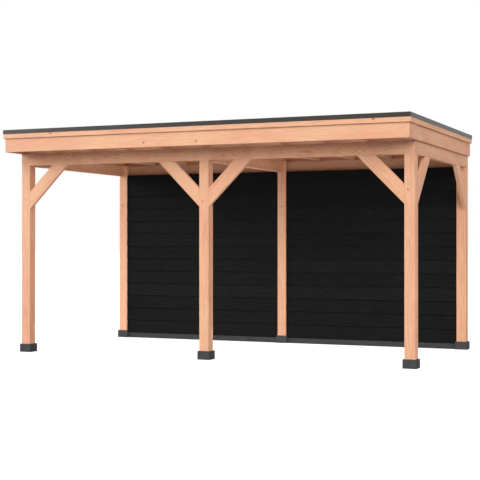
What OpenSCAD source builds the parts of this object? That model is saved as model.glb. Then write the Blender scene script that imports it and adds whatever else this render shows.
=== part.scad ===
// Flat-roofed timber garden canopy: two bays along the front, one bay deep, open at the
// front and sides, with a boarded wall between the back posts.
//
// Millimetres. +X runs to the right along the front, +Y from the front to the back wall,
// +Z up. The origin is on the ground, under the middle of the roof's outline.

/* [Frame] */
// Length of the frame over the corner posts, along the front
frame_length = 5000; // [3800:50:7000]
// Depth of the frame over the posts, from front to back
frame_depth = 2580; // [2000:20:4000]
// Clear height from the ground to the underside of the beams
clear_height = 2305; // [2000:5:2800]
// Side of the square posts
post_side = 120; // [100:5:160]
// Width of the beams, which lie in rebates cut in the heads of the posts
beam_width = 60; // [50:1:80]
// Height of the beams
beam_height = 145; // [110:5:220]
// Planed-off edge on every post, beam, brace, rafter and fascia board
arris = 3; // [1:0.5:5]

/* [Joints] */
// Length of the dovetails on the middle beam, into the front and back beams
dovetail_length = 30; // [15:1:40]
// Width of a dovetail where it leaves its shoulder
dovetail_neck = 30; // [20:1:40]
// Width of a dovetail at its end
dovetail_end = 44; // [24:1:48]
// Height of the ledge that a dovetail sits on, above the underside of the beam
dovetail_ledge = 45; // [20:5:80]
// Gap left round a dovetail in its socket
joint_gap = 0.5; // [0.2:0.1:1.5]

/* [Feet] */
// Side of the square feet under the posts
foot_side = 158; // [130:1:200]
// Height of the feet
foot_height = 100; // [60:5:150]
// Radius on the upright and upper edges of a foot
foot_round = 10; // [3:1:20]

/* [Braces] */
// Distance from the post and beam corner to the far edge of a brace, along post and beam
brace_reach = 535; // [400:5:700]
// Width of a brace, seen square on
brace_width = 150; // [90:5:180]
// Thickness of a brace
brace_thickness = 45; // [30:5:70]

/* [Roof] */
// Spaces between rafters over each bay
rafter_spaces = 5; // [3:1:8]
// Width of a rafter
rafter_width = 45; // [35:1:70]
// Height of a rafter
rafter_height = 145; // [95:5:220]
// Distance that the rafters run on in front of the posts
overhang = 295; // [100:5:600]
// Thickness of the roof boards on the rafters
deck_thickness = 18; // [12:1:28]
// Cover width of one roof board
deck_board = 121; // [80:1:200]
// Depth of the V groove under each joint between roof boards
deck_groove = 4; // [2:0.5:6]
// Thickness of the roofing sheet and its underlay
membrane_thickness = 3; // [2:0.5:6]
// Width of the kerb along the edges of the roof, with the sheet dressed up over it
kerb_width = 45; // [30:1:70]

/* [Roof edge] */
// Height that the roof edge stands above the roof boards
upstand = 99; // [50:1:160]
// Thickness of the wide fascia boards
fascia_thickness = 22; // [16:1:35]
// Gap between the top of the beams and the bottom of the fascia
fascia_gap = 2; // [0:1:20]
// Thickness of the upper fascia strip
strip_thickness = 18; // [12:1:30]
// Height of the upper fascia strip
strip_height = 96; // [70:1:130]
// Thickness of the metal of the edge trim
trim_thickness = 4; // [2:0.5:6]
// Height of the face of the edge trim
trim_face = 50; // [35:1:65]
// Height of the bead of the edge trim above its flange
trim_bead = 10; // [5:1:14]
// Width of the bead of the edge trim
trim_bead_width = 14; // [10:1:24]

/* [Wall] */
// Distance from the posts' faces back to the thickest part of the wall boards
wall_recess = 10; // [4:1:20]
// Height of wall that each board shows
board_exposure = 176; // [120:1:220]
// Height that the inner wall boards run up past the underside of the back beam
board_rise = 10; // [0:1:40]
// Thickness of a wall board at its lower edge
board_butt = 26; // [16:1:30]
// Thickness of a wall board at its upper edge
board_tip = 12; // [8:1:15]
// Width of the studs and rails inside the wall
stud_width = 45; // [35:1:60]
// Spaces between studs in each bay of the wall
stud_spaces = 4; // [3:1:6]
// Height of the plinth under the wall
plinth_height = 65; // [40:1:95]
// Thickness of the plinth, which is flush with the back of the posts
plinth_thickness = 60; // [40:1:80]
// Slope cast along the upper edges of the plinth
plinth_arris = 6; // [2:1:12]

/* [Hidden] */
$fn = 48;

// Plan: the rafters and roof boards fill a rectangle round the origin, and the fascia, strip
// and trim wrap it
core_length = frame_length;
core_depth = overhang + frame_depth;
front_face = -core_depth / 2 + overhang;
back_face = core_depth / 2;
post_line = (frame_length - post_side) / 2;
front_row = front_face + post_side / 2;
back_row = back_face - post_side / 2;
bay_length = frame_length / 2 - 1.5 * post_side;
bay_middle = post_line / 2;
middle_beam_x = (beam_width - post_side) / 2;

// Levels above the ground
beam_top = clear_height + beam_height;
rafter_top = beam_top + rafter_height;
deck_top = rafter_top + deck_thickness;
edge_top = deck_top + upstand;
fascia_bottom = beam_top + fascia_gap;
strip_bottom = edge_top - strip_height;
trim_top = edge_top + trim_bead;
trim_bottom = trim_top - trim_face;

// Distances outside the core rectangle of the outer faces at the roof edge
fascia_out = fascia_thickness;
strip_out = fascia_out + strip_thickness;
trim_out = strip_out + trim_thickness;

// The hollow of the wall between its two skins of boards
wall_hollow = post_side - 2 * (wall_recess + board_butt);

// Angles that turn a piece made for the front round to each side of the roof
front_side = 0;
right_side = 90;
back_side = 180;
left_side = 270;

wood = "#e2ac86";
shade_wood = "#c8936c";
black_paint = "#1f1f1f";
concrete = "#4a4a4a";
sheet_black = "#2b2c2e";
trim_grey = "#454746";

// ---- Shapes shared by several pieces ----

// Cross-section of a planed timber with its edges taken off
module planed_section(width, height) {
    polygon([[arris, 0], [width - arris, 0], [width, arris], [width, height - arris],
             [width - arris, height], [arris, height], [0, height - arris], [0, arris]]);
}

// Runs a cross-section along X: its first axis points to +Y and its second to +Z
module along_x(length, centred = true) {
    rotate([90, 0, 90])
        linear_extrude(length, center = centred)
            children();
}

// Plan of a board with a 45 degree mitre at each end, its long edge on the X axis
module mitre_plan(length, width) {
    polygon([[-length / 2, 0], [length / 2, 0], [length / 2 - width, width],
             [-length / 2 + width, width]]);
}

// A cross-section run along X and mitred at both ends. The long edge is on the X axis.
module mitred_run(length, width, top) {
    intersection() {
        along_x(length)
            children();
        linear_extrude(top + 1)
            mitre_plan(length, width);
    }
}

// One side of the roof edge. Its cross-section is given as distances inwards from an outer
// face, which lies `out` beyond the core rectangle, and heights above the ground.
module roof_edge(side, out, width) {
    crosswise = side % 180 != 0;
    run = (crosswise ? core_depth : core_length) + 2 * out;
    face = (crosswise ? core_length : core_depth) / 2 + out;
    rotate(side)
        translate([0, -face, 0])
            mitred_run(run, width, trim_top)
                children();
}

// ---- Feet and posts ----

// Square with rounded corners, round the origin
module rounded_square(side, radius) {
    square([side, side - 2 * radius], center = true);
    square([side - 2 * radius, side], center = true);
    for (x = [-1, 1], y = [-1, 1])
        translate([x * (side / 2 - radius), y * (side / 2 - radius)])
            circle(radius);
}

// Side view of a foot, with its two upper corners rounded
module foot_side_view() {
    translate([-foot_side / 2, 0])
        square([foot_side, foot_height - foot_round]);
    translate([-foot_side / 2 + foot_round, 0])
        square([foot_side - 2 * foot_round, foot_height]);
    for (x = [-1, 1])
        translate([x * (foot_side / 2 - foot_round), foot_height - foot_round])
            circle(foot_round);
}

// Cast foot, square with rounded upright and upper edges
module foot(column, row) {
    color(concrete)
        translate([column * post_line, row, 0])
            intersection() {
                linear_extrude(foot_height)
                    rounded_square(foot_side, foot_round);
                along_x(foot_side)
                    foot_side_view();
                rotate(90)
                    along_x(foot_side)
                        foot_side_view();
            }
}

// Square post from its foot, with a rebated head. The beams rest on its shoulders, against
// the horn that runs on up its inner corner to their top. inwards is 1 or -1, the direction
// along Y of the inner side.
module post(column, row, inwards) {
    horn_corner = beam_width - post_side / 2;
    color(wood)
        translate([column * post_line, row, 0])
            mirror([column > 0 ? 1 : 0, 0, 0])
                mirror([0, inwards < 0 ? 1 : 0, 0])
                    intersection() {
                        translate([-post_side / 2, -post_side / 2, foot_height])
                            linear_extrude(beam_top - foot_height)
                                planed_section(post_side, post_side);
                        union() {
                            linear_extrude(clear_height)
                                square(2 * post_side, center = true);
                            translate([horn_corner, horn_corner, 0])
                                cube([post_side, post_side, beam_top + 1]);
                        }
                    }
}

module foot_front_left() foot(-1, front_row);
module foot_front_middle() foot(0, front_row);
module foot_front_right() foot(1, front_row);
module foot_back_left() foot(-1, back_row);
module foot_back_middle() foot(0, back_row);
module foot_back_right() foot(1, back_row);

module post_front_left() post(-1, front_row, 1);
module post_front_middle() post(0, front_row, 1);
module post_front_right() post(1, front_row, 1);
module post_back_left() post(-1, back_row, -1);
module post_back_middle() post(0, back_row, -1);
module post_back_right() post(1, back_row, -1);

// ---- Beams ----

// Plan of a dovetail that leaves its shoulder on the X axis towards -Y
module dovetail_plan(gap) {
    neck = dovetail_neck / 2 + gap;
    end = dovetail_end / 2 + gap;
    polygon([[-neck, 0], [neck, 0], [end, -dovetail_length - gap], [-end, -dovetail_length - gap]]);
}

// Dovetail from its ledge to the top of the beams
module dovetail(gap) {
    linear_extrude(beam_height - dovetail_ledge + gap)
        dovetail_plan(gap);
}

// Beam of the outer ring, mitred at both ends, with its outer face on the X axis
module ring_beam(length) {
    translate([0, 0, clear_height])
        mitred_run(length, beam_width, beam_height)
            planed_section(beam_width, beam_height);
}

// Long beam over three posts, with the socket for the dovetail of the middle beam at x
module long_beam(x) {
    difference() {
        ring_beam(frame_length);
        translate([x, beam_width, clear_height + dovetail_ledge])
            dovetail(joint_gap);
    }
}

module beam_front() {
    color(wood)
        translate([0, front_face, 0])
            long_beam(middle_beam_x);
}

module beam_back() {
    color(wood)
        translate([0, back_face, 0])
            rotate(180)
                long_beam(-middle_beam_x);
}

module beam_left() {
    color(wood)
        translate([-frame_length / 2, (front_face + back_face) / 2, 0])
            rotate(-90)
                ring_beam(frame_depth);
}

module beam_right() {
    color(wood)
        translate([frame_length / 2, (front_face + back_face) / 2, 0])
            rotate(90)
                ring_beam(frame_depth);
}

// Beam over the middle posts, beside their horns, dovetailed into the front and back beams
module beam_middle() {
    span = frame_depth - 2 * beam_width;
    color(wood)
        translate([middle_beam_x, (front_face + back_face) / 2, clear_height]) {
            rotate(90)
                translate([0, -beam_width / 2, 0])
                    along_x(span)
                        planed_section(beam_width, beam_height);
            for (end = [0, 180])
                rotate(end)
                    translate([0, -span / 2, dovetail_ledge])
                        dovetail(0);
        }
}

// ---- Braces ----

// Brace at 45 degrees in the corner between a post's +X face and the beam above it. The
// corner is at the origin, and the outer face lies on the XZ plane.
module brace() {
    slope_length = brace_reach * sqrt(2) + 2 * brace_width;
    color(wood)
        intersection() {
            translate([0, 0, -brace_reach])
                cube([brace_reach, brace_thickness, brace_reach]);
            translate([brace_reach, 0, 0])
                rotate([0, 135, 0])
                    translate([-brace_width, 0, -brace_width])
                        along_x(slope_length, centred = false)
                            planed_section(brace_thickness, brace_width);
        }
}

// Front brace from a face of a post; hand is 1 where it leans right from the post, -1 left
module front_brace(post_face, hand) {
    translate([post_face, front_face, clear_height])
        mirror([hand < 0 ? 1 : 0, 0, 0])
            brace();
}

// Brace on the right-hand side; hand is 1 where it leans back from the post, -1 forwards
module side_brace(post_face, hand) {
    translate([frame_length / 2, post_face, clear_height])
        mirror([0, hand < 0 ? 1 : 0, 0])
            rotate(90)
                brace();
}

module brace_front_left() front_brace(-frame_length / 2 + post_side, 1);
module brace_middle_left() front_brace(-post_side / 2, -1);
module brace_middle_right() front_brace(post_side / 2, 1);
module brace_front_right() front_brace(frame_length / 2 - post_side, -1);
module brace_side_front() side_brace(front_face + post_side, 1);
module brace_side_back() side_brace(back_face - post_side, -1);

// ---- Roof ----

// Rafters from the front edge to the back, evenly spaced, the outer two flush with the frame
module rafters() {
    gaps = 2 * rafter_spaces;
    spacing = (core_length - rafter_width) / gaps;
    color(shade_wood)
        for (i = [0 : gaps])
            translate([-core_length / 2 + i * spacing, -core_depth / 2, beam_top])
                mirror([0, 1, 0])
                    rotate([90, 0, 0])
                        linear_extrude(core_depth)
                            planed_section(rafter_width, rafter_height);
}

// Roof boards, side by side along X, with a V groove under each joint
module roof_deck() {
    joints = ceil(core_depth / deck_board) - 1;
    underside = [for (i = [1 : joints])
                     for (step = [-1, 0, 1])
                         [i * deck_board + step * deck_groove,
                          step == 0 ? deck_groove : 0]];
    color(shade_wood)
        translate([0, -core_depth / 2, rafter_top])
            along_x(core_length)
                polygon(concat([[0, deck_thickness], [0, 0]], underside,
                               [[core_depth, 0], [core_depth, deck_thickness]]));
}

// Roofing sheet: flat on the roof boards, and dressed up over a kerb along every edge
module roof_membrane() {
    color(sheet_black)
        difference() {
            translate([-core_length / 2, -core_depth / 2, deck_top])
                cube([core_length, core_depth, upstand]);
            translate([-core_length / 2 + kerb_width, -core_depth / 2 + kerb_width,
                       deck_top + membrane_thickness])
                cube([core_length - 2 * kerb_width, core_depth - 2 * kerb_width, upstand]);
        }
}

// ---- Roof edge ----

module fascia(side) {
    color(wood)
        roof_edge(side, fascia_out, fascia_thickness)
            translate([0, fascia_bottom])
                planed_section(fascia_thickness, edge_top - fascia_bottom);
}

module strip(side) {
    color(wood)
        roof_edge(side, strip_out, strip_thickness)
            translate([0, strip_bottom])
                planed_section(strip_thickness, strip_height);
}

// Edge trim: a face down over the strip, a flange over the top of both boards and onto the
// kerb, and a bead that keeps rain on the roof
module trim(side) {
    flange = trim_out + kerb_width / 2;
    flange_top = edge_top + trim_thickness / 2;
    bead_round = trim_bead - trim_thickness / 2;
    color(trim_grey)
        roof_edge(side, trim_out, flange) {
            polygon([[0, trim_bottom], [trim_thickness, trim_bottom], [trim_thickness, edge_top],
                     [flange, edge_top], [flange, flange_top], [trim_bead_width, flange_top],
                     [trim_bead_width - bead_round / 2, trim_top - bead_round / 4],
                     [trim_bead_width - bead_round, trim_top], [2, trim_top], [0, trim_top - 2]]);
        }
}

module fascia_front() fascia(front_side);
module fascia_back() fascia(back_side);
module fascia_left() fascia(left_side);
module fascia_right() fascia(right_side);

module strip_front() strip(front_side);
module strip_back() strip(back_side);
module strip_left() strip(left_side);
module strip_right() strip(right_side);

module trim_front() trim(front_side);
module trim_back() trim(back_side);
module trim_left() trim(left_side);
module trim_right() trim(right_side);

// ---- Back wall ----

// Low plinth between two feet, under the wall
module plinth(bay) {
    color(concrete)
        translate([bay * bay_middle, back_face - plinth_thickness, 0])
            along_x(post_line - foot_side)
                polygon([[0, 0], [plinth_thickness, 0],
                         [plinth_thickness, plinth_height - plinth_arris],
                         [plinth_thickness - plinth_arris, plinth_height],
                         [plinth_arris, plinth_height], [0, plinth_height - plinth_arris]]);
}

// Cross-section of a skin of lapped boards: distance from the posts' faces, height. Each
// board is thicker at its lower edge, which stands out over the board below.
module skin_section(top) {
    courses = ceil((top - plinth_height) / board_exposure);
    taper = board_butt - board_tip;
    laps = [for (i = [0 : courses - 1])
                for (upper = [0, 1])
                    [wall_recess + upper * taper, plinth_height + (i + upper) * board_exposure]];
    back = wall_recess + board_butt;
    intersection() {
        polygon(concat(laps, [[back, plinth_height + courses * board_exposure],
                              [back, plinth_height]]));
        square([post_side, top]);
    }
}

// What the back feet take out of the wall, which stands over their edges
module foot_notches() {
    for (column = [-1, 0, 1])
        translate([column * post_line, back_row, foot_height / 2])
            cube([foot_side, foot_side, foot_height], center = true);
}

module wall_inner(bay) {
    color(black_paint)
        difference() {
            translate([bay * bay_middle, back_face - post_side, 0])
                along_x(bay_length)
                    skin_section(clear_height + board_rise);
            foot_notches();
        }
}

module wall_outer(bay) {
    color(black_paint)
        difference() {
            translate([bay * bay_middle, back_face, 0])
                rotate(180)
                    along_x(bay_length)
                        skin_section(clear_height);
            foot_notches();
        }
}

// Studs and rails between the two skins of each bay
module wall_frame() {
    height = clear_height - plinth_height;
    spacing = (bay_length - stud_width) / stud_spaces;
    color(shade_wood)
        for (bay = [-1, 1])
            difference() {
                translate([bay * bay_middle - bay_length / 2,
                           back_face - post_side + wall_recess + board_butt, plinth_height]) {
                    for (z = [0, height - stud_width])
                        translate([0, 0, z])
                            cube([bay_length, wall_hollow, stud_width]);
                    for (i = [0 : stud_spaces])
                        translate([i * spacing, 0, 0])
                            cube([stud_width, wall_hollow, height]);
                }
                foot_notches();
            }
}

module plinth_left() plinth(-1);
module plinth_right() plinth(1);
module wall_inner_left() wall_inner(-1);
module wall_inner_right() wall_inner(1);
module wall_outer_left() wall_outer(-1);
module wall_outer_right() wall_outer(1);

foot_front_left();
foot_front_middle();
foot_front_right();
foot_back_left();
foot_back_middle();
foot_back_right();
post_front_left();
post_front_middle();
post_front_right();
post_back_left();
post_back_middle();
post_back_right();
beam_front();
beam_back();
beam_left();
beam_middle();
beam_right();
brace_front_left();
brace_middle_left();
brace_middle_right();
brace_front_right();
brace_side_front();
brace_side_back();
rafters();
roof_deck();
roof_membrane();
fascia_front();
fascia_back();
fascia_left();
fascia_right();
strip_front();
strip_back();
strip_left();
strip_right();
trim_front();
trim_back();
trim_left();
trim_right();
plinth_left();
plinth_right();
wall_frame();
wall_inner_left();
wall_inner_right();
wall_outer_left();
wall_outer_right();
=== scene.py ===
# %% [markdown]
# # A timber garden canopy
# The real object is a flat-roofed shelter of planed softwood: six posts on cast feet, a ring of
# beams, 45 degree braces, rafters under a boarded roof, a deep stepped fascia with a metal edge
# trim, and a back wall of black lapped boards. The load-bearing pieces are already measured and
# drawn as solids, so this lesson only dresses them. It gives every solid its finish, and swaps
# the plain wall, plinths, roof boards and roofing sheet for ones with the detail of the real
# pieces.

# %% Load the measured frame
import math
import random

import bpy
import bmesh
from mathutils import Euler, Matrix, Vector, noise


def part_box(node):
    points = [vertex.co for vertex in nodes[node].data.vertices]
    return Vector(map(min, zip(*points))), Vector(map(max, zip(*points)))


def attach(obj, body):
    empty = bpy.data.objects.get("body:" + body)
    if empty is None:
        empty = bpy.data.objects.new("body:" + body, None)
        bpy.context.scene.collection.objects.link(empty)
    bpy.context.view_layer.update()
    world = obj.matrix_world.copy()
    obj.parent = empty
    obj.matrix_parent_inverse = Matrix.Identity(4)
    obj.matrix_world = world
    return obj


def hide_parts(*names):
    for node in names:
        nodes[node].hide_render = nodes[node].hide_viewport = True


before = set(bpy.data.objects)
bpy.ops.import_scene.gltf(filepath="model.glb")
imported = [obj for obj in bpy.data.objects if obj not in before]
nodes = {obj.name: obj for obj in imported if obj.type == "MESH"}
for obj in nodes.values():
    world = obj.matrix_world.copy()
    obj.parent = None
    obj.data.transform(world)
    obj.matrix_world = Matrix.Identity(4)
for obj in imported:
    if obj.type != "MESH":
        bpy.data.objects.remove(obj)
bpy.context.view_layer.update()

scene = bpy.context.scene

# %% [markdown]
# ## Camera
# Straight posts must stay upright, so the camera looks almost level from the height of a
# standing person's chest, far off to the right of the middle, with a moderately long lens. That
# is how a catalogue shows a building: the front reads as nearly square on, and the right end is
# just turned into view.

# %% Camera
STAND = (5.7373, -13.2969, 1.3505)
TILT, TURN, LENS, SENSOR = 90.14, 23.49, 87.14, 36.0

camera_data = bpy.data.cameras.new("camera")
camera_data.lens, camera_data.sensor_width = LENS, SENSOR
camera_data.clip_end = 400.0
camera = bpy.data.objects.new("camera", camera_data)
camera.location = STAND
camera.rotation_euler = (math.radians(TILT), 0.0, math.radians(TURN))
scene.collection.objects.link(camera)
scene.camera = camera
print("camera", [round(v, 2) for v in camera.location], "lens", camera_data.lens)

# %% [markdown]
# ## Small helpers
# Nearly everything below is built from nodes, for materials and for geometry. One function adds
# a node, sets its properties and plugs in its inputs, so that a node tree reads as a list. The
# second turns a colour as a painter's chart gives it, in hex, into the linear numbers that
# Blender works in. The last two start an empty material and put one on a solid of the frame.

# %% Helpers
def add(tree, kind, inputs=None, **settings):
    """Adds a node to a tree. Inputs are numbers, colours or the sockets that feed them.

    An input goes by its name, or by its number where several share a name, as in a Mix node,
    whose colours are inputs 6 and 7.
    """
    node = tree.nodes.new(kind)
    for name, value in settings.items():
        setattr(node, name, value)
    for socket, value in (inputs or {}).items():
        if isinstance(value, bpy.types.NodeSocket):
            tree.links.new(value, node.inputs[socket])
        else:
            node.inputs[socket].default_value = value
    return node


def linear(colour):
    """A hex colour such as #c08060 as linear red, green, blue and alpha."""
    channels = [int(colour[i : i + 2], 16) / 255 for i in (1, 3, 5)]
    return [c / 12.92 if c <= 0.04045 else ((c + 0.055) / 1.055) ** 2.4 for c in channels] + [1]


def new_material(name):
    """An empty material with its tree and its output node."""
    material = bpy.data.materials.new(name)
    material.use_nodes = True
    material.node_tree.nodes.clear()
    return material, material.node_tree, add(material.node_tree, "ShaderNodeOutputMaterial")


def dress(node, material):
    """Puts a material on a solid of the frame."""
    mesh = nodes[node].data
    mesh.materials.clear()
    mesh.materials.append(material)


# %% [markdown]
# ## Studio
# A pale floor and soft light, as in a large daylight studio. Even light comes from all round.
# Three window walls, drawn as suns 45 degrees wide, light the front from the left and the right
# and the back from behind, low enough to reach in under the roof and too broad to leave an edge
# to any shadow. Three soft boxes light the space under the roof: one faces the back wall, one
# shines across from the right, and one lies on the floor, because a bright floor throws its
# light up at the rafters. The floor and the world look white to the camera, yet give back less
# light than a white sheet would, so the shade under the roof edge stays.

# %% Studio
WORLD_LIGHT = 0.565
FLOOR_GREY = linear("#868686")
WHITE = (1, 1, 1, 1)
PAPER_GLOW = 0.97
FLOOR_REACH = 150.0

scene.view_settings.view_transform = "Standard"
world = bpy.data.worlds.new("studio")
world.use_nodes = True
scene.world = world
sky = world.node_tree
sky.nodes.clear()
seen = add(sky, "ShaderNodeLightPath").outputs["Is Camera Ray"]
lit = add(sky, "ShaderNodeBackground", {"Color": WHITE, "Strength": WORLD_LIGHT})
white = add(sky, "ShaderNodeBackground", {"Color": WHITE, "Strength": 1.0})
both = add(sky, "ShaderNodeMixShader", {0: seen, 1: lit.outputs[0], 2: white.outputs[0]})
add(sky, "ShaderNodeOutputWorld", {"Surface": both.outputs[0]})

paper, tree, out = new_material("studio_paper")
seen = add(tree, "ShaderNodeLightPath").outputs["Is Camera Ray"]
shade = add(tree, "ShaderNodeBsdfDiffuse", {"Color": FLOOR_GREY})
glow = add(tree, "ShaderNodeEmission", {"Color": WHITE, "Strength": PAPER_GLOW})
pale = add(tree, "ShaderNodeAddShader", {0: shade.outputs[0], 1: glow.outputs[0]})
both = add(tree, "ShaderNodeMixShader", {0: seen, 1: shade.outputs[0], 2: pale.outputs[0]})
tree.links.new(both.outputs[0], out.inputs["Surface"])

floor_mesh = bpy.data.meshes.new("floor")
corners = [(FLOOR_REACH * x, FLOOR_REACH * y, 0) for x, y in ((-1, -1), (1, -1), (1, 1), (-1, 1))]
floor_mesh.from_pydata(corners, [], [(0, 1, 2, 3)])
floor_mesh.materials.append(paper)
floor = bpy.data.objects.new("floor", floor_mesh)
scene.collection.objects.link(floor)


# %% Window walls and soft boxes
WINDOW_WIDTH = 45


def hang(name, lamp, towards, place=(0, 0, 0)):
    """Puts a light into the scene, pointed along a direction and hidden from the camera."""
    light = bpy.data.objects.new(name, lamp)
    light.location = place
    light.rotation_euler = Vector(towards).to_track_quat("-Z", "Y").to_euler()
    light.visible_camera = False
    scene.collection.objects.link(light)


def window_wall(name, power, left, height):
    """Light from a broad, far window: its power, and degrees to the left of the front and up."""
    lamp = bpy.data.lights.new(name, "SUN")
    lamp.energy, lamp.angle = power, math.radians(WINDOW_WIDTH)
    left, height = math.radians(left), math.radians(height)
    hang(name, lamp, (math.sin(left) * math.cos(height), math.cos(left) * math.cos(height),
                      -math.sin(height)))


def soft_box(name, power, place, towards, size, spread=180, tint=(1, 1, 1)):
    """Light from a lit panel: its power in watts, its middle, the way it faces and its size.

    Spread is the width of its beam in degrees, and tint is the colour of its light.
    """
    lamp = bpy.data.lights.new(name, "AREA")
    lamp.color = tint
    lamp.spread = math.radians(spread)
    lamp.shape, lamp.energy = "RECTANGLE", power
    lamp.size, lamp.size_y = size
    hang(name, lamp, towards, place)


window_wall("left_windows", 2.92, 60, 14)
window_wall("right_windows", 1.95, -40, 25)
window_wall("back_windows", 0.7, 165, 30)
soft_box("wall_box", 20.0, (-0.2, -0.9, 0.8), (0, 1, -0.3), (4.6, 1.1))
soft_box("side_box", 14.0, (5.2, 0.2, 0.4), (-1, 0, 0.3), (2.6, 0.7))
soft_box("floor_box", 25.0, (0, -0.2, 0.05), (0, 0, 1), (4.6, 1.6), 110, (0.93, 1.0, 1.07))

# %% [markdown]
# ## Growth rings
# What the eye reads as grain is the tree's growth rings cut by the plane: nested cones round the
# pith, pale spring wood that darkens into a thin band of summer wood. An image of wood could be
# wrapped round each timber, but its lines would not meet at the corners. So the shader draws the
# rings themselves, as distance from a pith that runs along X. Flat faces then get long arches,
# edges get straight lines and ends get arcs, as on a sawn timber.
#
# Real rings are 3 to 6 mm apart. They are drawn 15 mm apart here, because finer ones would blur
# into one tone at the distance from which a whole canopy is seen.

# %% Growth rings
RING_GAP = 0.015
# By how many rings a ring strays along the timber, and the part of a year when it is darkest
RING_STRAYS, LATE_SUMMER = 6.0, 0.8


def growth_rings(tree, along, figure, lively, swirl=0.0):
    """How dark each point is from its ring, 0 to 1, and coordinates stretched along the grain.

    Figure is how dark the rings come out, lively is how fast they wander along the timber, and
    swirl moves them outwards by its number of rings.
    """
    stretched = add(tree, "ShaderNodeVectorMath", {
        0: along, 1: (lively, 0.6, 0.6)}, operation="MULTIPLY").outputs[0]
    across = add(tree, "ShaderNodeVectorMath", {0: along, 1: (0, 1, 1)}, operation="MULTIPLY")
    radius = add(tree, "ShaderNodeVectorMath", {
        0: across.outputs[0]}, operation="LENGTH").outputs["Value"]

    # The rings wander slowly along the timber, and are wide or narrow from year to year
    wander = add(tree, "ShaderNodeTexNoise", {"Vector": stretched, "Scale": 6.0, "Detail": 2.0})
    years = add(tree, "ShaderNodeTexNoise", {
        "W": radius, "Scale": 33.0, "Detail": 1.0}, noise_dimensions="1D")
    ring = add(tree, "ShaderNodeMath", {
        0: radius, 1: 1 / RING_GAP, 2: swirl}, operation="MULTIPLY_ADD").outputs[0]
    ring = add(tree, "ShaderNodeMath", {
        0: wander.outputs[0], 1: RING_STRAYS, 2: ring}, operation="MULTIPLY_ADD").outputs[0]
    ring = add(tree, "ShaderNodeMath", {0: years.outputs[0], 1: ring}, operation="ADD").outputs[0]

    # Each year has its own strength, and turns dark slowly and pale again at once
    year = add(tree, "ShaderNodeMath", {0: ring}, operation="FLOOR").outputs[0]
    strength = add(tree, "ShaderNodeTexWhiteNoise", {"W": year}, noise_dimensions="1D")
    strength = add(tree, "ShaderNodeMapRange", {
        "Value": strength.outputs["Value"], "To Min": 0.25 * figure, "To Max": figure}).outputs[0]
    part = add(tree, "ShaderNodeMath", {0: ring}, operation="FRACT").outputs[0]
    darkens = add(tree, "ShaderNodeMapRange", {
        "Value": part, "From Min": 0.2, "From Max": LATE_SUMMER, "To Min": 0.0,
        "To Max": strength}, interpolation_type="SMOOTHSTEP")
    pales = add(tree, "ShaderNodeMapRange", {
        "Value": part, "From Min": LATE_SUMMER, "From Max": 1.0, "To Min": 1.0, "To Max": 0.0})
    band = add(tree, "ShaderNodeMath", {
        0: darkens.outputs[0], 1: pales.outputs[0]}, operation="MULTIPLY").outputs[0]

    # Rings fade in and out, as the plane cuts some parts of them cleaner than others
    fade = add(tree, "ShaderNodeTexNoise", {"Vector": stretched, "Scale": 14.0, "Detail": 1.0})
    fade = add(tree, "ShaderNodeMapRange", {
        "Value": fade.outputs[0], "From Min": 0.35, "From Max": 0.65, "To Min": 0.25,
        "To Max": 1.0}).outputs[0]
    band = add(tree, "ShaderNodeMath", {0: band, 1: fade}, operation="MULTIPLY").outputs[0]
    return band, stretched


print("rings drawn", RING_GAP * 1000, "mm apart")

# %% [markdown]
# ## Planed Douglas fir
# Posts, beams, braces, rafters and fascia are planed Douglas fir, oiled to a warm orange. Each
# timber gets its own pith, its own slight tilt and its own drift between yellow and rose, because
# no two timbers of a real frame come from the same place in the log. Posts and beams hold the
# heart of the log, so all their faces show arches; in the front beam it lies at the back face.
# The long front boards are cut on the quarter, with the pith far off to one side, so their grain
# runs in lines. Braces and the right-hand fascia board are cut just beside the heart.
#
# Oiled wood is a soft, nearly matt surface: a roughness of 0.55 keeps a faint sheen where light
# grazes it, and a fine bump lets the fibres break it up.

# %% Lie of the grain, knots and colour
# Spring wood, summer wood, and the two tints that drift along a board
DOUGLAS_FIR = ("#dfa787", "#b9714f", "#e0b28a", "#d49678")
# Roof boards: pale spruce made paler still, as painted light on undersides that sit in shade
SPRUCE_PAINTED_PALER = ("#f4ebdf", "#e4c9b0", "#f5ecdf", "#efdccb")
KNOT_WOOD = "#a7643f"
# Where the pith lies off a timber's middle: an angle round the grain, and metres
HEART, BESIDE, QUARTER = (0.0, 0.015), (0.0, 0.09), (math.pi / 2, 0.5)
# Where no knots are named there is about one in each 0.4 m cube of the log
KNOTS_PER_METRE, KNOT_RADIUS = 2.6, 0.011
# The most that the grain leans, in degrees, and the streaks to a metre along and across it
LEAN, FIBRES = 0.9, (7, 100, 100)


def lie_of_grain(tree, place, grain, centre, pith, chance):
    """Coordinates with a timber's length on X, at a slight lean, and its pith on the X axis."""
    lean = [math.radians(chance.uniform(-LEAN, LEAN)) for axis in range(2)]
    turn = Euler((0, *lean)).to_quaternion() @ Vector(grain).rotation_difference(Vector((1, 0, 0)))
    side, reach = pith or (chance.uniform(0, 2 * math.pi), chance.uniform(0.05, 0.13))
    away = Vector((chance.uniform(2, 9), reach * math.cos(side), reach * math.sin(side)))
    return add(tree, "ShaderNodeMapping", {
        "Vector": place, "Location": away - turn @ Vector(centre),
        "Rotation": turn.to_euler()}).outputs[0]


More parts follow.
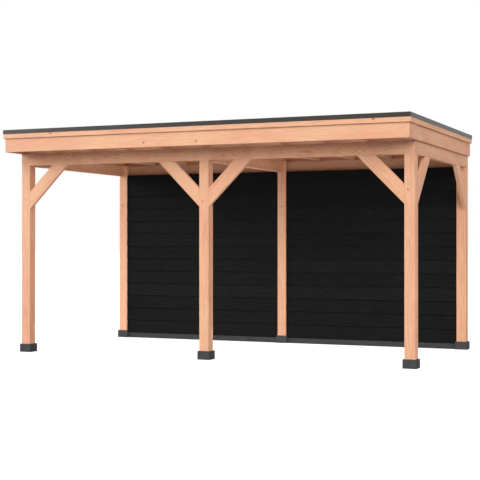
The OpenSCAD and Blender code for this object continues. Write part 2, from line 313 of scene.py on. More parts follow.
def knot_distance(tree, place, knots):
    """How far each point is from the nearest knot, counted in the knot's own radius."""
    if not knots:
        scattered = add(tree, "ShaderNodeTexVoronoi", {"Vector": place, "Scale": KNOTS_PER_METRE})
        return add(tree, "ShaderNodeMath", {
            0: scattered.outputs["Distance"], 1: 1 / KNOTS_PER_METRE / KNOT_RADIUS},
            operation="MULTIPLY").outputs[0]
    # Further off than a knot can be felt
    nearest = 9.0
    for *middle, radius in knots:
        gap = add(tree, "ShaderNodeVectorMath", {0: place, 1: middle}, operation="DISTANCE")
        gap = add(tree, "ShaderNodeMath", {
            0: gap.outputs["Value"], 1: 1 / radius}, operation="MULTIPLY")
        nearest = add(tree, "ShaderNodeMath", {
            0: nearest, 1: gap.outputs[0]}, operation="MINIMUM").outputs[0]
    return nearest


def wood_colour(tree, wood, band, stretched, fibre, tone):
    """Spring wood of two drifting tints, darker in its rings and streaked along its fibres."""
    spring, summer, warm, rose = (linear(colour) for colour in wood)
    drift = add(tree, "ShaderNodeTexNoise", {"Vector": stretched, "Scale": 8.0, "Detail": 2.0})
    drift = add(tree, "ShaderNodeMapRange", {
        "Value": drift.outputs[0], "From Min": 0.35, "From Max": 0.65})
    tint = add(tree, "ShaderNodeMix", {0: drift.outputs[0], 6: warm, 7: rose}, data_type="RGBA")
    clean = add(tree, "ShaderNodeMix", {0: 0.5, 6: spring, 7: tint.outputs[2]}, data_type="RGBA")
    ringed = add(tree, "ShaderNodeMix", {
        0: band, 6: clean.outputs[2], 7: summer}, data_type="RGBA")
    streak = add(tree, "ShaderNodeMapRange", {
        "Value": fibre, "From Min": 0.3, "From Max": 0.7, "To Min": 0.9 * tone,
        "To Max": 1.1 * tone})
    return add(tree, "ShaderNodeMix", {
        0: 1.0, 6: ringed.outputs[2], 7: streak.outputs[0]}, data_type="RGBA",
        blend_type="MULTIPLY").outputs[2]


print("knots where none are named: one in each", round(1 / KNOTS_PER_METRE, 2), "m cube")


# %% Planed Douglas fir
def timber(name, grain, centre, seed, pith=None, knots=(), wood=DOUGLAS_FIR, figure=0.45,
           lively=0.15, tone=1.0, own_log=None):
    """Planed softwood with its grain along a direction, round a centre in metres.

    Without a pith, one is drawn by chance. Each knot is a place and a radius. Figure and lively
    are as for the rings. Tone makes the timber paler or darker than its neighbours; it serves as
    painted light and shade where the lamps leave a timber too dark or too bright. Own_log shifts
    each piece of a row to a log of its own.
    """
    material, tree, out = new_material(name)
    place = add(tree, "ShaderNodeTexCoord").outputs["Object"]
    if own_log:
        place = own_log(tree, place)
    along = lie_of_grain(tree, place, grain, centre, pith, random.Random(seed))

    # A knot is dark to about its own radius, and pushes the rings aside to five times that
    to_knot = knot_distance(tree, place, knots)
    knot = add(tree, "ShaderNodeMapRange", {
        "Value": to_knot, "From Min": 0.5, "From Max": 1.4, "To Min": 0.8, "To Max": 0.0},
        interpolation_type="SMOOTHSTEP")
    swirl = add(tree, "ShaderNodeMapRange", {
        "Value": to_knot, "From Min": 0.0, "From Max": 5.0, "To Min": 1.0, "To Max": 0.0},
        interpolation_type="SMOOTHSTEP")
    band, stretched = growth_rings(tree, along, figure, lively, swirl.outputs[0])

    # Fibres are too fine to show at this distance, so they are drawn as streaks 10 mm wide
    fine = add(tree, "ShaderNodeVectorMath", {0: along, 1: FIBRES}, operation="MULTIPLY")
    fibre = add(tree, "ShaderNodeTexNoise", {
        "Vector": fine.outputs[0], "Scale": 1.0, "Detail": 3.0, "Roughness": 0.6}).outputs[0]

    clear = wood_colour(tree, wood, band, stretched, fibre, tone)
    colour = add(tree, "ShaderNodeMix", {
        0: knot.outputs[0], 6: clear, 7: linear(KNOT_WOOD)}, data_type="RGBA")
    height = add(tree, "ShaderNodeMath", {0: fibre, 1: band}, operation="SUBTRACT").outputs[0]
    bump = add(tree, "ShaderNodeBump", {"Height": height, "Strength": 0.5, "Distance": 0.0006})
    shader = add(tree, "ShaderNodeBsdfPrincipled", {
        "Base Color": colour.outputs[2], "Roughness": 0.55, "Specular IOR Level": 0.3,
        "Normal": bump.outputs[0]})
    tree.links.new(shader.outputs[0], out.inputs["Surface"])
    return material


# %% Which way each timber's grain runs
def grain_of(node):
    """The direction of the grain: along the longest side, or down the slope of a brace."""
    slopes = {"brace_front_left": (1, 0, 1), "brace_middle_right": (1, 0, 1),
              "brace_middle_left": (1, 0, -1), "brace_front_right": (1, 0, -1),
              "brace_side_front": (0, 1, 1), "brace_side_back": (0, 1, -1)}
    if node in slopes:
        return slopes[node]
    low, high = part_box(node)
    size = high - low
    longest = 1 if node == "rafters" else max(range(3), key=lambda axis: size[axis])
    return tuple(float(axis == longest) for axis in range(3))


# The rafters are one solid node of eleven rafters, so each is given a log by its place
RAFTERS, RAFTER_WIDTH = 11, 0.045
rafter_low, rafter_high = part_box("rafters")
rafter_step = (rafter_high.x - rafter_low.x - RAFTER_WIDTH) / (RAFTERS - 1)
# How far the wood slips across and up the log from one rafter to the next
SLIP_ACROSS, SLIP_UP = 4.3, 0.011


def rafter_log(tree, place):
    """Moves every rafter to the middle one's place, and then to a log of its own."""
    parts = add(tree, "ShaderNodeSeparateXYZ", {0: place}).outputs
    number = add(tree, "ShaderNodeMath", {0: parts[0], 1: 1 / rafter_step, 2: 0.5},
                 operation="MULTIPLY_ADD")
    number = add(tree, "ShaderNodeMath", {0: number.outputs[0]}, operation="FLOOR")
    return add(tree, "ShaderNodeVectorMath", {
        0: number.outputs[0], 1: (-rafter_step, SLIP_ACROSS, SLIP_UP), 2: place},
        operation="MULTIPLY_ADD").outputs[0]


# %% Dress the timbers
# Knots that show on the front: where each one is and its radius, in metres
front_knots = {
    "strip_front": [(-1.87, -1.477, 2.662, 0.018), (2.135, -1.477, 2.664, 0.019)],
    "fascia_front": [(-0.62, -1.459, 2.506, 0.015), (0.05, -1.459, 2.499, 0.015)],
    "beam_front": [(-1.56, -1.142, 2.327, 0.008), (-1.55, -1.142, 2.421, 0.009),
                   (0.58, -1.142, 2.403, 0.008), (-0.74, -1.142, 2.421, 0.007),
                   (-2.29, -1.142, 2.307, 0.012)],
    "post_front_left": [(-2.45, -1.142, 1.888, 0.008), (-2.5, -1.1, 0.9, 0.011)],
    "post_front_middle": [(-0.02, -1.142, 1.829, 0.011), (0.06, -1.09, 0.7, 0.012)],
    "post_front_right": [(2.42, -1.142, 1.923, 0.012), (2.5, -1.08, 0.55, 0.01)],
    "post_back_left": [(-2.45, 1.317, 1.886, 0.012)],
    "post_back_middle": [(0.0, 1.317, 1.841, 0.012)],
}
# How figured each kind of timber is, how fast its rings wander, and where its pith lies
looks = {"post": (0.3, 0.12, HEART), "beam": (0.65, 0.3, HEART), "brace": (0.35, 0.12, BESIDE),
         "fascia": (0.25, 0.12, QUARTER), "strip": (0.25, 0.12, QUARTER),
         "rafters": (0.45, 0.15, None), "fascia_right": (0.65, 0.3, BESIDE),
         "beam_front": (0.6, 0.5, (math.pi, 0.03))}
# Painted light and shade: timbers made paler where the lamps leave their seen faces too dark,
# as on the inner sides of the left and middle beams and the back left post, and darker where
# they stand in shade, as the back beam does under the roof
painted_light_tones = {"beam_front": 1.04, "beam_back": 0.67, "beam_left": 1.18, "beam_middle": 1.15,
         "beam_right": 0.97, "post_back_left": 1.12, "post_back_middle": 0.96,
         "post_back_right": 0.96}
timbers = [node for node in sorted(nodes) if node.split("_")[0] in looks]
for number, node in enumerate(timbers):
    low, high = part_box(node)
    figure, lively, pith = looks.get(node, looks[node.split("_")[0]])
    dress(node, timber(
        "planed_douglas_fir_" + node, grain_of(node), (low + high) / 2, number, pith,
        front_knots.get(node, ()), figure=figure, lively=lively, tone=painted_light_tones.get(node, 1.0),
        own_log=rafter_log if node == "rafters" else None))
print(len(timbers), "timbers dressed, rafters every", round(rafter_step, 3), "m")

# %% [markdown]
# ## Cast concrete
# The feet and the plinth are concrete dyed anthracite, cast in a smooth mould. Close to, that
# gives a dull, slightly cloudy grey with pin holes where air met the mould. The clouds are
# colour, so they go into the base colour. The holes are depth, and too small for the mesh, so
# they go into the bump.

# %% Cast concrete
def cast_concrete(name, dark, pale):
    """Dyed concrete that clouds from a dark colour to a paler one."""
    material, tree, out = new_material(name)
    place = add(tree, "ShaderNodeTexCoord").outputs["Object"]
    cloud = add(tree, "ShaderNodeTexNoise", {"Vector": place, "Scale": 14.0, "Detail": 5.0,
                                             "Roughness": 0.6}).outputs[0]
    ramp = add(tree, "ShaderNodeValToRGB", {0: cloud})
    ramp.color_ramp.elements[0].position, ramp.color_ramp.elements[1].position = 0.3, 0.7
    ramp.color_ramp.elements[0].color = linear(dark)
    ramp.color_ramp.elements[1].color = linear(pale)
    # Pin holes 2 mm across at the bottom and 6 mm at the rim
    holes = add(tree, "ShaderNodeTexVoronoi", {"Vector": place, "Scale": 70.0}).outputs["Distance"]
    pit = add(tree, "ShaderNodeMapRange", {"Value": holes, "From Min": 0.08, "From Max": 0.2})
    grit = add(tree, "ShaderNodeTexNoise", {"Vector": place, "Scale": 400.0, "Detail": 2.0})
    height = add(tree, "ShaderNodeMath", {0: grit.outputs[0], 1: 0.35, 2: pit.outputs[0]},
                 operation="MULTIPLY_ADD")
    bump = add(tree, "ShaderNodeBump", {"Height": height.outputs[0], "Strength": 0.6,
                                        "Distance": 0.0012})
    shader = add(tree, "ShaderNodeBsdfPrincipled", {
        "Base Color": ramp.outputs[0], "Roughness": 0.85, "Specular IOR Level": 0.25,
        "Normal": bump.outputs[0]})
    tree.links.new(shader.outputs[0], out.inputs["Surface"])
    return material


# The plinth is the feet's concrete made a little darker: painted shade, for the shade it
# stands in at the back under the roof
foot_cast = cast_concrete("cast_concrete_anthracite", "#38393a", "#444546")
plinth_cast_painted_shade = cast_concrete("cast_concrete_anthracite_plinth_painted_shade", "#343535", "#3e3f3f")
cast = [node for node in nodes if node.startswith(("foot", "plinth"))]
for node in cast:
    dress(node, foot_cast if node.startswith("foot") else plinth_cast_painted_shade)
print("cast pieces:", len(cast))

# %% [markdown]
# ## Powder-coated edge trim
# The trim along the roof edge is aluminium, powder-coated a satin anthracite. Powder melts into
# a tough skin with a faint orange peel, dark in colour but bright where it mirrors the sky at a
# low angle. That is the look of a smooth skin over a dark base, so the roughness is low.

# %% Powder-coated aluminium
def powder_coat(name, colour):
    """A satin powder coat with a fine orange peel."""
    material, tree, out = new_material(name)
    place = add(tree, "ShaderNodeTexCoord").outputs["Object"]
    peel = add(tree, "ShaderNodeTexNoise", {"Vector": place, "Scale": 500.0, "Detail": 1.0})
    bump = add(tree, "ShaderNodeBump", {"Height": peel.outputs[0], "Strength": 0.25,
                                        "Distance": 0.0002})
    shader = add(tree, "ShaderNodeBsdfPrincipled", {
        "Base Color": linear(colour), "Roughness": 0.24, "Normal": bump.outputs[0]})
    tree.links.new(shader.outputs[0], out.inputs["Surface"])
    return material


coated = powder_coat("powder_coated_aluminium", "#373330")
trims = [node for node in nodes if node.startswith("trim")]
for node in trims:
    dress(node, coated)
print("trim lengths coated:", len(trims))

# %% [markdown]
# ## Rows, with Geometry Nodes
# The wall, the roof and the screws are each made of one thing repeated many times: laid in a
# row, each a little out of line with its neighbour and each a little different in tone. Geometry
# Nodes suit that well. One tree takes a single board or screw, sets it on a row of points, nudges
# every copy by a seeded random amount, stores on each copy a tone and a shift for its grain, and
# then makes the copies real.

# %% A tree that lays a row
def row_tree():
    """The Geometry Nodes tree that lays one piece on a row of points."""
    tree = bpy.data.node_groups.new("lay_in_a_row", "GeometryNodeTree")
    face = tree.interface
    for name, kind in (("Piece", "Geometry"), ("Count", "Int"), ("Step", "Vector"),
                       ("Nudge", "Vector"), ("Slip", "Vector"), ("Seed", "Int"),
                       ("Finish", "Material")):
        face.new_socket(name, in_out="INPUT", socket_type="NodeSocket" + kind)
    face.new_socket("Row", in_out="OUTPUT", socket_type="NodeSocketGeometry")
    given = add(tree, "NodeGroupInput").outputs

    def either_way(most, seed_shift):
        """A random vector for each point, between minus and plus the most.

        The shift of the seed keeps one such draw apart from another.
        """
        least = add(tree, "ShaderNodeVectorMath", {0: most, 1: (-1, -1, -1)}, operation="MULTIPLY")
        seed = add(tree, "ShaderNodeMath", {0: given["Seed"], 1: seed_shift}, operation="ADD")
        return add(tree, "FunctionNodeRandomValue", {
            0: least.outputs[0], 1: most, "Seed": seed.outputs[0]},
            data_type="FLOAT_VECTOR").outputs[0]

    line = add(tree, "GeometryNodeMeshLine", {
        "Count": given["Count"], "Offset": given["Step"]}, mode="OFFSET")
    moved = add(tree, "GeometryNodeSetPosition", {
        "Geometry": line.outputs[0], "Offset": either_way(given["Nudge"], 0.0)})
    laid = add(tree, "GeometryNodeInstanceOnPoints", {
        "Points": moved.outputs[0], "Instance": given["Piece"]})
    tone = add(tree, "FunctionNodeRandomValue", {
        2: 0.0, 3: 1.0, "Seed": given["Seed"]}, data_type="FLOAT")
    toned = add(tree, "GeometryNodeStoreNamedAttribute", {
        "Geometry": laid.outputs[0], "Name": "piece_tone", "Value": tone.outputs[1]},
        data_type="FLOAT", domain="INSTANCE")
    log = add(tree, "ShaderNodeVectorMath", {
        0: either_way(given["Slip"], 2.0),
        1: add(tree, "GeometryNodeInputPosition").outputs[0]}, operation="SUBTRACT")
    logged = add(tree, "GeometryNodeStoreNamedAttribute", {
        "Geometry": toned.outputs[0], "Name": "piece_log", "Value": log.outputs[0]},
        data_type="FLOAT_VECTOR", domain="INSTANCE")
    real = add(tree, "GeometryNodeRealizeInstances", {0: logged.outputs[0]})
    done = add(tree, "GeometryNodeSetMaterial", {0: real.outputs[0], "Material": given["Finish"]})
    add(tree, "NodeGroupOutput", {0: done.outputs[0]})
    return tree


ROW = row_tree()
print("nodes in the tree that lays a row:", len(ROW.nodes))


# %% Lay a row
def board_log(tree, place):
    """Shifts every board of a row to a log of its own."""
    log = add(tree, "ShaderNodeAttribute", attribute_name="piece_log").outputs["Vector"]
    return add(tree, "ShaderNodeVectorMath", {0: place, 1: log}, operation="ADD").outputs[0]


def lay(name, mesh, **values):
    """Lays a row of a mesh and returns it as a plain object at the origin.

    The values are the tree's inputs: Nudge is the most that a copy lies out of line, and Slip
    the most that its wood is shifted within the log.
    """
    row = bpy.data.objects.new(name, mesh)
    scene.collection.objects.link(row)
    modifier = row.modifiers.new("row", "NODES")
    modifier.node_group = ROW
    for item in ROW.interface.items_tree:
        if item.item_type == "SOCKET" and item.name in values:
            modifier[item.identifier] = values[item.name]
    bpy.context.view_layer.update()
    ready = row.evaluated_get(bpy.context.evaluated_depsgraph_get())
    plain = bpy.data.meshes.new_from_object(ready)
    row.modifiers.clear()
    row.data = plain
    plain.name = name
    return row


# %% [markdown]
# ## Bars and saw cuts
# A board is a cross-section run along its length. That is how a planing mill makes it, and the
# mesh then has only as many points as the section has corners. Notches and trimmed edges could be
# built into the outline, but a cut that only one board needs is made afterwards, with a boolean
# that works as a saw does.

# %% Bars and saw cuts
def closed_mesh(name, shape):
    """Turns a closed shape's faces outwards and makes it a mesh."""
    bmesh.ops.recalc_face_normals(shape, faces=shape.faces)
    mesh = bpy.data.meshes.new(name)
    shape.to_mesh(mesh)
    shape.free()
    return mesh


def closed_bar(name, outline, start, end):
    """A closed bar along X from an outline of (y, z) points."""
    shape = bmesh.new()
    first, last = ([shape.verts.new((x, y, z)) for y, z in outline] for x in (start, end))
    for i in range(len(outline)):
        j = (i + 1) % len(outline)
        shape.faces.new((first[i], first[j], last[j], last[i]))
    shape.faces.new(first)
    shape.faces.new(last)
    return closed_mesh(name, shape)


def saw(piece, blocks):
    """Takes boxes, given by their two corners, out of a piece."""
    shape = bmesh.new()
    for low, high in blocks:
        for corner in bmesh.ops.create_cube(shape, size=1.0)["verts"]:
            corner.co = [low[i] if corner.co[i] < 0 else high[i] for i in range(3)]
    cutter = bpy.data.objects.new("cut", closed_mesh("cut", shape))
    scene.collection.objects.link(cutter)
    modifier = piece.modifiers.new("saw", "BOOLEAN")
    modifier.operation, modifier.solver, modifier.object = "DIFFERENCE", "EXACT", cutter
    bpy.context.view_layer.update()
    ready = piece.evaluated_get(bpy.context.evaluated_depsgraph_get())
    cut = bpy.data.meshes.new_from_object(ready)
    piece.modifiers.clear()
    piece.data = cut
    bpy.data.objects.remove(cutter)


# %% [markdown]
# ## Plinths under the wall
# The plinth of each bay is one casting that fills the wall's thickness between two feet: its
# back lies flush with the posts and its front with the lowest wall board, which hangs 5 mm clear
# of it so that its end stays dry. The casting rises 5 mm higher and reaches 50 mm further forward
# than the solid of the frame, so it is drawn anew as a cross-section with sloped upper edges and
# run along the bay.

# %% Plinths under the wall
PLINTH_RISE, PLINTH_SLOPE, DRIP_GAP = 0.005, 0.006, 0.005
wall_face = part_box("wall_inner_left")[0].y
plinth_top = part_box("plinth_left")[1].z + PLINTH_RISE
lowest_board = plinth_top + DRIP_GAP
shoulder = plinth_top - PLINTH_SLOPE
for side in ("left", "right"):
    low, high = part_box("plinth_" + side)
    outline = [
        (wall_face, 0), (high.y, 0), (high.y, shoulder), (high.y - PLINTH_SLOPE, plinth_top),
        (wall_face + PLINTH_SLOPE, plinth_top), (wall_face, shoulder),
    ]
    name = "cast_plinth_" + side
    casting = bpy.data.objects.new(name, closed_bar(name, outline, low.x, high.x))
    scene.collection.objects.link(casting)
    casting.data.materials.append(plinth_cast_painted_shade)
    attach(casting, "root")
    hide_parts("plinth_" + side)
print("plinths", round(plinth_top, 3), "m high,", round(high.y - wall_face, 3), "m deep")

# %% [markdown]
# ## Black lapped boards
# The wall boards are sawn with a taper: 26 mm at the lower edge and 12 mm at the upper, with a
# rebate behind the lower edge that laps over the board below. They are stained opaque black, and
# the stain sinks in unevenly, so the grain and the knots still show as darker lines. One board is
# drawn as its cross-section and run along the bay. The row starts over the plinth, and saw cuts
# then trim the top board to the height of the wall, 10 mm up the inner face of the beam, and
# notch the lowest one over the edges of the feet. The studs behind the boards are dipped in the
# same stain, which adds painted shade to the real shade in the gap over the plinth, so it stays
# dark.

# %% Black stain
PITH_BEHIND, PITH_ABOVE = 0.07, 0.1
OPEN_FIBRES = (9, 110, 110)


def black_stain(name):
    """Sawn spruce under an opaque black stain, with the pith behind the wall's boards."""
    material, tree, out = new_material(name)
    place = board_log(tree, add(tree, "ShaderNodeTexCoord").outputs["Object"])
    pith = Vector((0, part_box("wall_frame")[1].y + PITH_BEHIND, lowest_board + PITH_ABOVE))
    along = add(tree, "ShaderNodeVectorMath", {0: place, 1: -pith}, operation="ADD").outputs[0]
    band = growth_rings(tree, along, figure=0.35, lively=0.2)[0]

    # Short dark streaks where the stain lies in open fibres, 10 mm wide and 120 mm long
    fine = add(tree, "ShaderNodeVectorMath", {0: along, 1: OPEN_FIBRES}, operation="MULTIPLY")
    fibre = add(tree, "ShaderNodeTexNoise", {
        "Vector": fine.outputs[0], "Scale": 1.0, "Detail": 3.0, "Roughness": 0.65}).outputs[0]
    streak = add(tree, "ShaderNodeMapRange", {
        "Value": fibre, "From Min": 0.54, "From Max": 0.72, "To Min": 0.0, "To Max": 0.9})
    knots = add(tree, "ShaderNodeTexVoronoi", {"Vector": place, "Scale": 2.4})
    knot = add(tree, "ShaderNodeMapRange", {
        "Value": knots.outputs["Distance"], "From Min": 0.02, "From Max": 0.05, "To Min": 1.0,
        "To Max": 0.0})
    dark = add(tree, "ShaderNodeMath", {
        0: band, 1: streak.outputs[0]}, operation="MAXIMUM").outputs[0]
    dark = add(tree, "ShaderNodeMath", {
        0: dark, 1: knot.outputs[0]}, operation="MAXIMUM").outputs[0]
    colour = add(tree, "ShaderNodeMix", {
        0: dark, 6: linear("#161717"), 7: linear("#080808")}, data_type="RGBA")

    # Each board has its own tone, and raised fibres are rubbed paler than the rest
    tone = add(tree, "ShaderNodeAttribute", attribute_name="piece_tone")
    tone = add(tree, "ShaderNodeMapRange", {
        "Value": tone.outputs["Fac"], "To Min": 0.88, "To Max": 1.12})
    rubbed = add(tree, "ShaderNodeMapRange", {
        "Value": fibre, "From Min": 0.3, "From Max": 0.48, "To Min": 1.5, "To Max": 1.0})
    tone = add(tree, "ShaderNodeMath", {
        0: tone.outputs[0], 1: rubbed.outputs[0]}, operation="MULTIPLY")
    colour = add(tree, "ShaderNodeVectorMath", {
        0: colour.outputs[2], "Scale": tone.outputs[0]}, operation="SCALE")

    height = add(tree, "ShaderNodeMath", {0: fibre, 1: dark}, operation="SUBTRACT")
    bump = add(tree, "ShaderNodeBump", {"Height": height.outputs[0], "Strength": 0.6,
                                        "Distance": 0.001})
    shader = add(tree, "ShaderNodeBsdfPrincipled", {
        "Base Color": colour.outputs[0], "Roughness": 0.75, "Specular IOR Level": 0.06,
        "Normal": bump.outputs[0]})
    tree.links.new(shader.outputs[0], out.inputs["Surface"])
    return material


stain = black_stain("black_stained_spruce")
# Painted shade: the studs take the black stain so that the gap over the plinth reads dark
dress("wall_frame", stain)
print("stain:", stain.name)

# %% Cross-section of a wall board
# Height that shows and height that laps, then thickness at the lower edge, the upper edge and
# the rebate's lip
EXPOSURE, LAP = 0.176, 0.019
BUTT, TIP, LIP = 0.026, 0.012, 0.013
ROUNDING, PLAY = 0.003, 0.001
courses = math.ceil((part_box("wall_inner_left")[1].z - lowest_board) / EXPOSURE)
# Cross-section with the back on y = 0, the front towards -y and the lower edge on z = 0
lapped_board = [
    (-BUTT + ROUNDING, 0), (-LIP, 0), (-LIP, LAP + PLAY), (0, LAP + PLAY),
    (0, EXPOSURE + LAP), (-TIP + PLAY, EXPOSURE + LAP), (-TIP, EXPOSURE + LAP - PLAY),
    (-TIP, EXPOSURE), (-BUTT, ROUNDING), (-BUTT + 0.3 * ROUNDING, 0.3 * ROUNDING),
]
print(courses, "courses of boards, each", len(lapped_board), "points in section")

# %% Lay and cut the wall boards
# Further out than any part of the canopy, and how far a saw cut runs past a foot
FAR, OVERRUN = 3.0, 0.05
OUTWARDS = {"inner": -1, "outer": 1}
SKINS = [(side, face) for side in ("left", "right") for face in OUTWARDS]
FIRST_SEED = 52


def wall_skin(name, node, outwards, seed):
    """One skin of lapped boards in place of a plain one; outwards is -1 inside, 1 outside."""
    low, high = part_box(node)
    back = high.y if outwards < 0 else low.y
    outline = [(back - outwards * y, lowest_board + z) for y, z in lapped_board]
    board = closed_bar(name, outline, low.x + PLAY, high.x - PLAY)
    skin = lay(name, board, Count=courses, Step=(0, 0, EXPOSURE), Nudge=(0, 0, 0.0012),
               Slip=(20, 0.02, 0.06), Seed=seed, Finish=stain)
    blocks = [((-FAR, 0, high.z), (FAR, FAR, FAR))]
    for foot in ("foot_back_left", "foot_back_middle", "foot_back_right"):
        a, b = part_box(foot)
        blocks.append(((a.x - PLAY, a.y - OVERRUN, -OVERRUN),
                       (b.x + PLAY, b.y + OVERRUN, b.z + PLAY)))
    saw(skin, blocks)
    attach(skin, "root")
    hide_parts(node)
    return skin


for number, (side, face) in enumerate(SKINS):
    skin = wall_skin("wall_boards_%s_%s" % (face, side), "wall_%s_%s" % (face, side),
                     OUTWARDS[face], FIRST_SEED + number)
    print(skin.name, len(skin.data.polygons), "faces")

# %% [markdown]
# ## Roof boards
# Tongued and grooved spruce boards lie across the rafters. Only their undersides show, between
# the rafters, each with a small V along its joint. Lines drawn on one slab would do from afar,
# but a real V catches light on one side and shade on the other, so each board is a bar of its
# own, cut at the back where the last one would stand out. The tongues are left off, because the
# joints hide them.

# %% Lay the roof boards
COVER, V_SIZE, JOINT = 0.121, 0.004, 0.0004
low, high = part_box("roof_deck")
thick = high.z - low.z
count = math.ceil((high.y - low.y) / COVER)
roof_board = [
    (V_SIZE, 0), (COVER - V_SIZE, 0), (COVER - JOINT, V_SIZE), (COVER - JOINT, thick),
    (JOINT, thick), (JOINT, V_SIZE),
]
# Partly painted light: the boards are paler than spruce, so their shaded undersides come out
# bright
deck_wood = timber("planed_spruce_roof_boards", (1, 0, 0), (0, low.y + COVER / 2, low.z), 71,
                   wood=SPRUCE_PAINTED_PALER, figure=0.4, own_log=board_log)
board = closed_bar("roof_boards", [(low.y + y, low.z + z) for y, z in roof_board], low.x, high.x)
deck = lay("roof_boards", board, Count=count, Step=(0, COVER, 0), Slip=(20, 0.05, 0.03), Seed=5,
           Finish=deck_wood)
saw(deck, [((-FAR, high.y, 0), (FAR, FAR, FAR))])
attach(deck, "root")
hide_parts("roof_deck")
print("roof boards:", count, "laid,", len(deck.data.polygons), "faces")

# %% [markdown]
# ## Roofing sheet
# A single sheet of black rubber lies on the roof boards and is dressed up over the kerb. It is
# never quite flat: it keeps soft waves from having been rolled up, and it turns up into the kerb
# in a cove, because rubber can't be folded sharp. The shape is a grid whose outer rows follow the
# kerb's profile and whose middle rows follow the waves.

# %% Black rubber
def black_rubber(name, clean, dusty):
    """Rolled rubber sheet that clouds from its clean colour to a dusty one."""
    material, tree, out = new_material(name)
    place = add(tree, "ShaderNodeTexCoord").outputs["Object"]
    dust = add(tree, "ShaderNodeTexNoise", {"Vector": place, "Scale": 2.2, "Detail": 5.0})
    ramp = add(tree, "ShaderNodeValToRGB", {0: dust.outputs[0]})
    ramp.color_ramp.elements[0].position, ramp.color_ramp.elements[1].position = 0.3, 0.75
    ramp.color_ramp.elements[0].color = linear(clean)
    ramp.color_ramp.elements[1].color = linear(dusty)
    # The sheet was pressed against cloth while hot, which left a weave too fine to show; it is
    # drawn as 3 mm grit
    grit = add(tree, "ShaderNodeTexNoise", {"Vector": place, "Scale": 330.0, "Detail": 1.0})
    bump = add(tree, "ShaderNodeBump", {"Height": grit.outputs[0], "Strength": 0.3,
                                        "Distance": 0.0006})
    shader = add(tree, "ShaderNodeBsdfPrincipled", {
        "Base Color": ramp.outputs[0], "Roughness": 0.6, "Specular IOR Level": 0.4,
        "Normal": bump.outputs[0]})
    tree.links.new(shader.outputs[0], out.inputs["Surface"])
    return material


rubber = black_rubber("black_rubber_sheet", "#29292a", "#343434")
print("sheet finish:", rubber.name)

# %% Profile of the sheet's edge
SHEET, KERB, COVE, COVE_PARTS = 0.002, 0.045, 0.022, 5
# How far the sheet is rounded over the kerb's outer and inner edges, and how far it leans there
OUTER_FOLD, INNER_FOLD, OUTER_LEAN, INNER_LEAN = 0.003, 0.004, 0.0004, 0.001
low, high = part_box("roof_membrane")
rise = high.z - low.z
# From the outside in: distance from the edge, and height above the roof boards
profile = [(0.0, 0.0), (OUTER_LEAN, rise - OUTER_FOLD), (OUTER_FOLD, rise),
           (KERB - INNER_FOLD, rise), (KERB, rise - INNER_FOLD)]
for i in range(COVE_PARTS + 1):
    angle = math.pi / 2 * i / COVE_PARTS
    profile.append((KERB + INNER_LEAN + COVE * (1 - math.cos(angle)),
                    SHEET + COVE * (1 - math.sin(angle))))
print("points in the profile of the sheet's edge:", len(profile))


# %% Lay the sheet
GRID = 0.05
# Lowest lie of the waves, and the heights of the long and the short ripples
LIE, LONG_RIPPLE, SHORT_RIPPLE = 0.0022, 0.0026, 0.0009


def stations(length):
    """Distances along one side, with the number of the profile point that each belongs to."""
    inner = length - 2 * profile[-1][0]
    parts = round(inner / GRID)
    edge = [(inset, number) for number, (inset, height) in enumerate(profile)]
    middle = [(profile[-1][0] + inner * i / parts, len(profile)) for i in range(1, parts)]
    return edge + middle + [(length - inset, number) for inset, number in reversed(edge)]


def wave(x, y):
    """Height of the sheet above its lowest lie: long soft ripples, at most 5 mm."""
    long = noise.noise(Vector((x * 1.1, y * 2.6, 1.7)))
    short = noise.noise(Vector((x * 4.0, y * 6.5, 8.2)))
    return max(0.0, LIE + LONG_RIPPLE * long + SHORT_RIPPLE * short)


def sheet_mesh(name, low, high):
    """The sheet as a closed grid that follows the kerb's profile outside and the waves inside."""
    shape = bmesh.new()
    columns, rows = stations(high.x - low.x), stations(high.y - low.y)
    grid = []
    for along_x, number_x in columns:
        line = []
        for along_y, number_y in rows:
            number = min(number_x, number_y)
            x, y = low.x + along_x, low.y + along_y
            height = profile[number][1] if number < len(profile) else SHEET + wave(x, y)
            line.append(shape.verts.new((x, y, low.z + height)))
        grid.append(line)
    for i in range(len(columns) - 1):
        for j in range(len(rows) - 1):
            shape.faces.new((grid[i][j], grid[i + 1][j], grid[i + 1][j + 1], grid[i][j + 1]))

    # One flat face closes the underside, inside the rim
    rim = ([grid[i][0] for i in range(len(columns))] + grid[-1][1:]
           + [grid[i][-1] for i in reversed(range(len(columns) - 1))] + grid[0][-2:0:-1])
    shape.faces.new(list(reversed(rim)))
    for face in shape.faces:
        face.smooth = len(face.verts) == 4
    return closed_mesh(name, shape)


mesh = sheet_mesh("roofing_sheet", low, high)
mesh.materials.append(rubber)
sheet = bpy.data.objects.new("roofing_sheet", mesh)
scene.collection.objects.link(sheet)
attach(sheet, "root")
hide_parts("roof_membrane")
print("roofing sheet:", len(mesh.polygons), "faces")

# %% [markdown]
# ## Screws
# The trim is screwed down through its top flange into the kerb about every 300 mm, and every
# wall board is screwed to each stud just above its lap. The heads are pan heads with a six-sided
# socket. A head is turned on a lathe in life, and here it is rings of twelve points joined up,
# which is enough for something 8 mm across that is repeated hundreds of times. Laying a row of
# rows gives each wall its whole field of screws.

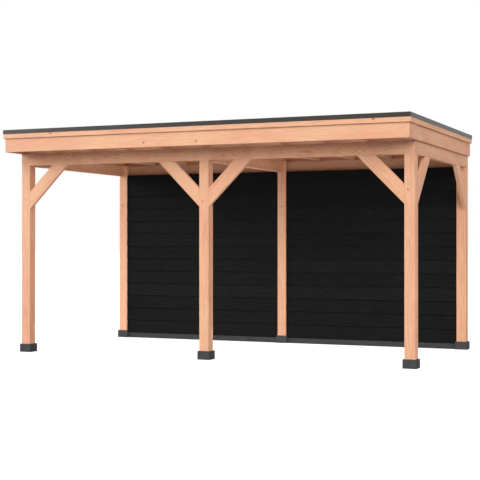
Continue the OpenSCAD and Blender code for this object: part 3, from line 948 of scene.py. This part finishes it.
# %% One screw head
def screw_head(name, facing):
    """A pan head 8 mm across round the origin, which looks along a direction."""
    corners, radius, height = 12, 0.004, 0.002
    # Shares of the radius and of the height, from the rim over the dome into the socket
    levels = [(1.0, -0.25), (1.0, 0.35), (0.78, 0.85), (0.45, 1.0), (0.4, 0.3)]
    aimed = Vector((0, 0, 1)).rotation_difference(Vector(facing))
    shape = bmesh.new()
    rings = [[shape.verts.new(aimed @ Vector((
        radius * share * math.cos(2 * math.pi * i / corners),
        radius * share * math.sin(2 * math.pi * i / corners), height * level)))
        for i in range(corners)] for share, level in levels]
    for ring, inner in zip(rings, rings[1:]):
        for i in range(corners):
            j = (i + 1) % corners
            shape.faces.new((ring[i], ring[j], inner[j], inner[i]))
    shape.faces.new(rings[0])
    shape.faces.new(rings[-1])
    return closed_mesh(name, shape)


def place_mesh(mesh, place):
    """Moves a mesh within its object."""
    for vertex in mesh.vertices:
        vertex.co += Vector(place)
    return mesh


def finish_screws(screws):
    """Hands a field of screws over to the root body, and prints how many faces it has."""
    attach(screws, "root")
    print(screws.name, len(screws.data.polygons), "faces")


# %% Screws of the edge trim
# The last is the thickness of the trim's flange on the kerb
SPACING, IN_FROM_FACE, IN_FROM_CORNER, FLANGE = 0.3, 0.04, 0.1, 0.002
low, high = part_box("trim_front")[0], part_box("trim_back")[1]
flange_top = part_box("roof_membrane")[1].z + FLANGE
trim_black = powder_coat("powder_coated_screws", "#2c2c2c")
for name, along, across in (("trim_screws_front_back", 0, 1), ("trim_screws_left_right", 1, 0)):
    count = int((high[along] - low[along] - 2 * IN_FROM_CORNER) / SPACING) + 1
    first, step, other = Vector((0, 0, flange_top)), Vector(), Vector()
    first[along] = -SPACING * (count - 1) / 2
    first[across] = low[across] + IN_FROM_FACE
    step[along] = SPACING
    other[across] = high[across] - low[across] - 2 * IN_FROM_FACE
    head = place_mesh(screw_head(name, (0, 0, 1)), first)
    row = lay(name, head, Count=count, Step=step, Seed=3, Finish=trim_black)
    both = lay(name, row.data, Count=2, Step=other, Seed=3, Finish=trim_black)
    bpy.data.objects.remove(row)
    finish_screws(both)

# %% Screws of the wall boards
STUD, SPACES, ABOVE_LAP = 0.045, 4, 0.035
screw_black = powder_coat("black_zinc_screws", "#121212")
face_depth = BUTT - (BUTT - TIP) * ABOVE_LAP / EXPOSURE
for side, face in SKINS:
    low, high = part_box("wall_%s_%s" % (face, side))
    outwards = OUTWARDS[face]
    back = high.y if outwards < 0 else low.y
    first = (low.x + STUD / 2, back + outwards * face_depth, lowest_board + ABOVE_LAP)
    name = "wall_screws_%s_%s" % (face, side)
    head = place_mesh(screw_head(name, (0, outwards, 0)), first)
    row = lay(name, head, Count=SPACES + 1, Step=((high.x - low.x - STUD) / SPACES, 0, 0),
              Nudge=(0.003, 0, 0.002), Seed=9, Finish=screw_black)
    field = lay(name, row.data, Count=courses, Step=(0, 0, EXPOSURE), Seed=4, Finish=screw_black)
    bpy.data.objects.remove(row)
    finish_screws(field)
